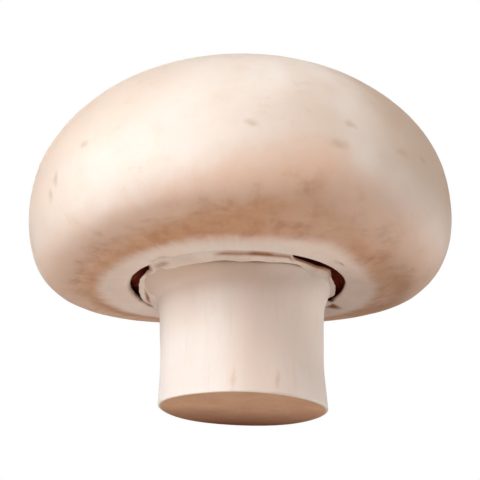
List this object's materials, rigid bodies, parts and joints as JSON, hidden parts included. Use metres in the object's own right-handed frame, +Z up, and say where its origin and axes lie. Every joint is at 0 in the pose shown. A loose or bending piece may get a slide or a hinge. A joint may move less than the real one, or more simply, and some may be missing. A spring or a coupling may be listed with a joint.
{
  "type": "button mushroom",
  "caption": "Fresh closed-cup button mushroom with a domed cream cap, rolled-in margin, torn veil, hidden brown gills and a short stem trimmed flat so that it stands.",
  "frame": {"origin": "centre of the stem's flat cut face, on the surface that the mushroom stands on", "axes": "+Z up, square to the cut face; the growth axis leans 1.8 degrees from it towards -X; -Y is the side with the two torn slits to its left and right"},
  "size_m": [0.05, 0.05, 0.0389],
  "materials": {
    "cap_skin": "satin",
    "stem_flesh": "matte",
    "gill_brown": "matte",
    "veil_membrane": "matte"
  },
  "bodies": {
    "root": {"cap": "cap_skin", "stem": "stem_flesh", "gills": "gill_brown", "veil": "veil_membrane"}
  },
  "joints": []
}
